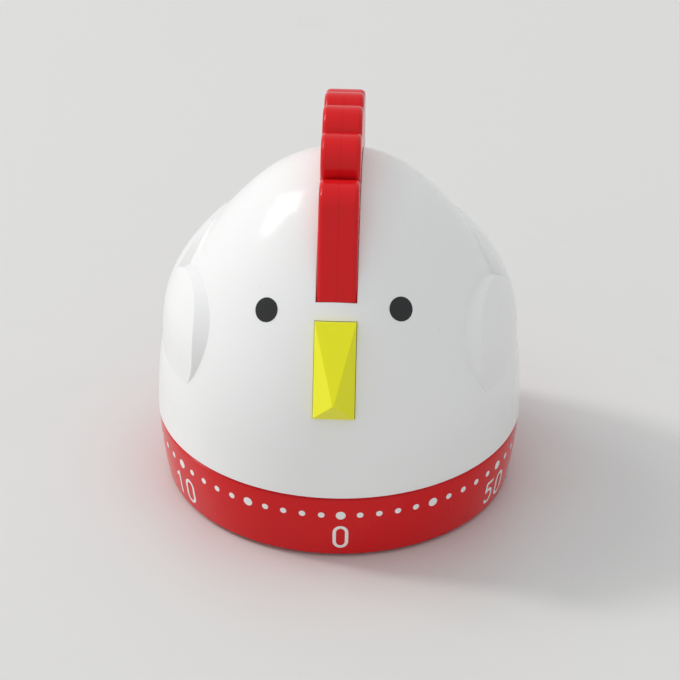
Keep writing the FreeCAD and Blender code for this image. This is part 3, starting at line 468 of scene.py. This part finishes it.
def printScale(look):
    verts, faces = [], []

    def lay(shape, across, height, azimuth):
        points, cells = shape
        base = len(verts)
        for x, y in points:
            verts.append(onRing(across + x, height + y, azimuth))
        faces.extend(tuple(base + corner for corner in cell) for cell in cells)

    for minute in range(60):
        azimuth = -6 * minute + look["turn"]
        size = look["bigDot"] if minute % 5 == 0 else look["smallDot"]
        lay(discShape(size), 0, look["dotHeight"], azimuth)
        if minute % 10 == 0:
            text = str(minute)
            for index, digit in enumerate(text):
                across = (index - (len(text) - 1) / 2) * look["spacing"]
                middle = look["digitFoot"] + look["digitHeight"] / 2
                for path, closed in digitStrokes[digit]:
                    halfWide = (look["digitWidth"] - look["stroke"]) / 2 / 0.86
                    halfHigh = (look["digitHeight"] - look["stroke"]) / 2 / 0.95
                    scaled = [(x * halfWide, y * halfHigh) for x, y in path]
                    if closed:
                        scaled = fine(scaled + [scaled[0]])[:-1]
                        clean = [p for i, p in enumerate(scaled) if math.dist(p, scaled[i - 1]) > 1e-4]
                        lay(strokeShape(clean, look["stroke"], True), across, middle, azimuth)
                    else:
                        lay(strokeShape(fine(scaled), look["stroke"]), across, middle, azimuth)
    return meshPiece("minuteScale", verts, faces, whiteInk, "base")


scalePrint = printScale(scaleLook)
print("minute scale printed")


# an eye printed on the dome
def printEye(name, side, look):
    angle = math.radians(side * look["across"] + look["turn"])
    outwards = Vector((math.sin(angle), -math.cos(angle), 0))
    start = outwards * 0.08 + Vector((0, 0, (look["height"] + side * look["lean"]) * mm))
    spot, normal = domeTree.ray_cast(start, -outwards)[:2]
    sideways = Vector((0, 0, 1)).cross(normal).normalized()
    upwards = normal.cross(sideways)
    points, faces = discShape(look["radius"], 5, 40)
    verts = []
    for x, y in points:
        above = spot + (sideways * x + upwards * y) * mm + normal * 0.01
        hit, face = domeTree.ray_cast(above, -normal)[:2]
        verts.append(hit + face * look["lift"] * mm)
    return meshPiece(name, verts, faces, blackInk, "dome")


for name, side in (("leftEye", -1), ("rightEye", 1)):
    printEye(name, side, eyeLook)
print("eyes printed")


# stone table under the timer
tableLook = {"colour": (0.700, 0.694, 0.682), "vein": (0.62, 0.60, 0.56), "roughness": 0.42, "size": 3.0}


def buildTable(look):
    half = look["size"] / 2
    mesh = bpy.data.meshes.new("table")
    corners = [(-half, -half, 0), (half, -half, 0), (half, half, 0), (-half, half, 0)]
    mesh.from_pydata(corners, [], [(0, 1, 2, 3)])
    obj = bpy.data.objects.new("table", mesh)
    bpy.context.scene.collection.objects.link(obj)
    material, nt, shader = newMaterial("tableStone")
    where = nt.nodes.new("ShaderNodeTexCoord")
    cloud = node(nt, "ShaderNodeTexNoise", -700, 200, Scale=9, Detail=6, Distortion=0.8)
    nt.links.new(where.outputs["Object"], cloud.inputs["Vector"])
    stain = node(nt, "ShaderNodeTexNoise", -700, -100, Scale=34, Detail=3)
    nt.links.new(where.outputs["Object"], stain.inputs["Vector"])
    veins = mathNode(nt, "MULTIPLY", ramp(nt, cloud.outputs[0], 0.55, 0.75), 0.22)
    marks = mathNode(nt, "MULTIPLY", ramp(nt, stain.outputs[0], 0.66, 0.80), 0.30)
    first = mixColour(nt, veins, (*look["colour"], 1), (*look["vein"], 1))
    second = mixColour(nt, marks, first, (0.62, 0.60, 0.52, 1))
    nt.links.new(second, shader.inputs["Base Color"])
    shader.inputs["Roughness"].default_value = look["roughness"]
    mesh.materials.append(material)
    obj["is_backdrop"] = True


buildTable(tableLook)

sunLook = {"strength": 0.86, "angle": 9.0, "from": 167.0, "height": 37.0, "colour": (1.0, 0.985, 0.96)}
fillLook = {"colour": (0.97, 0.985, 1.0), "left": 0.80, "right": 0.68}
windowLook = {"energy": 1.7, "size": 0.35, "place": (-0.62, 0.25, 0.75)}


def buildLight():
    lamp = bpy.data.lights.new("sun", "SUN")
    lamp.energy = sunLook["strength"]
    lamp.angle = math.radians(sunLook["angle"])
    lamp.color = sunLook["colour"]
    obj = bpy.data.objects.new("sun", lamp)
    bpy.context.scene.collection.objects.link(obj)
    azimuth, height = math.radians(sunLook["from"]), math.radians(sunLook["height"])
    level = math.cos(height)
    towards = Vector((math.cos(azimuth) * level, math.sin(azimuth) * level, math.sin(height)))
    obj.rotation_euler = towards.to_track_quat("Z", "Y").to_euler()
    window = bpy.data.lights.new("window", "AREA")
    window.energy = windowLook["energy"]
    window.size = windowLook["size"]
    pane = bpy.data.objects.new("window", window)
    bpy.context.scene.collection.objects.link(pane)
    pane.location = windowLook["place"]
    aim = Vector(windowLook["place"]) - Vector((0, 0, 0.03))
    pane.rotation_euler = aim.to_track_quat("Z", "Y").to_euler()
    world = bpy.data.worlds.new("studio")
    bpy.context.scene.world = world
    world.use_nodes = True
    back = world.node_tree.nodes["Background"]
    back.inputs["Color"].default_value = (*fillLook["colour"], 1)
    graph = world.node_tree
    where = graph.nodes.new("ShaderNodeTexCoord")
    split = graph.nodes.new("ShaderNodeSeparateXYZ")
    graph.links.new(where.outputs["Generated"], split.inputs[0])
    strength = graph.nodes.new("ShaderNodeMapRange")
    span = {"From Min": -1, "From Max": 1, "To Min": fillLook["left"], "To Max": fillLook["right"]}
    for label, value in span.items():
        strength.inputs[label].default_value = value
    graph.links.new(split.outputs[0], strength.inputs["Value"])
    graph.links.new(strength.outputs[0], back.inputs["Strength"])


buildLight()
print("table and light set")


# camera looking a little down at the face
cameraLook = {
    "lens": 172.4, "distance": 0.630, "height": 31.22, "azimuth": 1.7, "roll": 0.0121,
    "target": (0.00002, 0, 0.0279),
}


def buildCamera(look):
    azimuth, height = math.radians(look["azimuth"]), math.radians(look["height"])
    level = math.cos(height)
    away = Vector((math.sin(azimuth) * level, -math.cos(azimuth) * level, math.sin(height)))
    right = Vector((math.cos(azimuth), math.sin(azimuth), 0))
    upwards = away.cross(right)
    across = right * math.cos(look["roll"]) + upwards * math.sin(look["roll"])
    rise = upwards * math.cos(look["roll"]) - right * math.sin(look["roll"])
    data = bpy.data.cameras.new("camera")
    data.lens = look["lens"]
    data.sensor_width = 36
    data.clip_start = 0.01
    obj = bpy.data.objects.new("camera", data)
    bpy.context.scene.collection.objects.link(obj)
    place = Vector(look["target"]) + away * look["distance"]
    obj.matrix_world = Matrix.Translation(place) @ Matrix((across, rise, away)).transposed().to_4x4()
    bpy.context.scene.camera = obj


buildCamera(cameraLook)
bpy.context.scene.view_settings.view_transform = "Standard"

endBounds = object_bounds()


def plain(value):
    if isinstance(value, dict):
        return {key: plain(part) for key, part in value.items()}
    if isinstance(value, (list, tuple, Vector)):
        return [plain(part) for part in value]
    return value


{"start": plain(startBounds), "end": plain(endBounds)}
